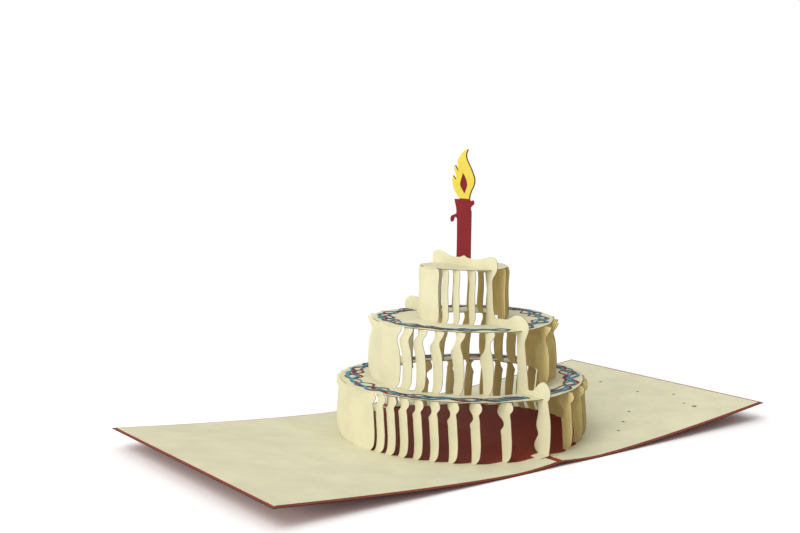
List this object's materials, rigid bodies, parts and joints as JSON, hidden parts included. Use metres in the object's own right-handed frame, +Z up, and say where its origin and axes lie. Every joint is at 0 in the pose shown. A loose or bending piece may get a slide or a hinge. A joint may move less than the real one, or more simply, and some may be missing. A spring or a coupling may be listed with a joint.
{
  "type": "pop up card",
  "caption": "Open pop-up birthday card with a three-tier cut-paper cake, centre rib, icing strands and a flat candle standing on the fold.",
  "frame": {"origin": "middle of the footprint, on the table, under the fold", "axes": "+X across the fold to the right leaf, +Y along the fold to the back, +Z up"},
  "size_m": [0.299, 0.15, 0.1433],
  "materials": {
    "red_card": "matte",
    "cream_card": "matte",
    "red_paper": "matte",
    "blue_paper": "matte",
    "yellow_paper": "matte"
  },
  "bodies": {
    "root": {"cover": "red_card", "nameplate": "cream_card", "centre_rib": "cream_card", "candle": "red_paper", "flame": "yellow_paper", "left_page": "cream_card", "left_ring_1": "cream_card", "left_ring_2": "cream_card", "left_top": "cream_card", "left_red_icing_1": "red_paper", "left_blue_icing_1": "blue_paper", "left_red_icing_2": "red_paper", "left_blue_icing_2": "blue_paper", "right_page": "cream_card", "right_ring_1": "cream_card", "right_ring_2": "cream_card", "right_top": "cream_card", "right_red_icing_1": "red_paper", "right_blue_icing_1": "blue_paper", "right_red_icing_2": "red_paper", "right_blue_icing_2": "blue_paper"}
  },
  "joints": []
}
